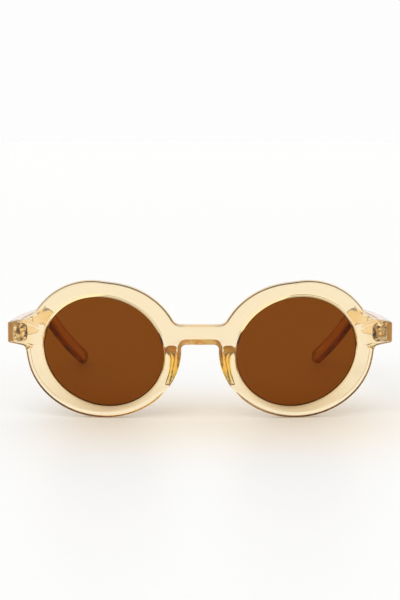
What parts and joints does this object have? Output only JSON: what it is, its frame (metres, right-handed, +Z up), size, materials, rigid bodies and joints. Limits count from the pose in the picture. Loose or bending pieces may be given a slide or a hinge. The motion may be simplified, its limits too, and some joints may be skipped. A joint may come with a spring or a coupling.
{
  "type": "round sunglasses",
  "caption": "Round sunglasses with a clear amber plastic frame, brown lenses, raised nose pads and temples that fold in on barrel hinges.",
  "frame": {"origin": "on the table, below the middle of the box of the open sunglasses", "axes": "+X towards the wearer's left, +Y from the front back along the temples, +Z up"},
  "size_m": [0.145, 0.137, 0.052],
  "materials": {
    "frame_plastic": "polished clear amber",
    "temple_plastic": "polished clear amber",
    "pad_plastic": "polished clear amber",
    "lens_tint": "polished brown tint",
    "hinge_metal": "bright tumbled",
    "screw_metal": "bright"
  },
  "bodies": {
    "front": {"front_frame": "frame_plastic", "lens_left": "lens_tint", "lens_right": "lens_tint", "nose_pad_left": "pad_plastic", "nose_pad_right": "pad_plastic", "hinge_front_leaf_left": "hinge_metal", "hinge_front_leaf_right": "hinge_metal", "hinge_screw_left": "screw_metal", "hinge_screw_right": "screw_metal"},
    "left_arm": {"temple_left": "temple_plastic", "hinge_temple_leaf_left": "hinge_metal"},
    "right_arm": {"temple_right": "temple_plastic", "hinge_temple_leaf_right": "hinge_metal"}
  },
  "joints": [
    {"name": "left_fold", "type": "hinge", "parent": "front", "child": "left_arm", "pos_m": [0.0673, -0.05591, 0.03165], "axis": [0, 0, 1], "range_deg": [0, 84]},
    {"name": "right_fold", "type": "hinge", "parent": "front", "child": "right_arm", "pos_m": [-0.0673, -0.05591, 0.03165], "axis": [0, 0, -1], "range_deg": [0, 79]}
  ]
}
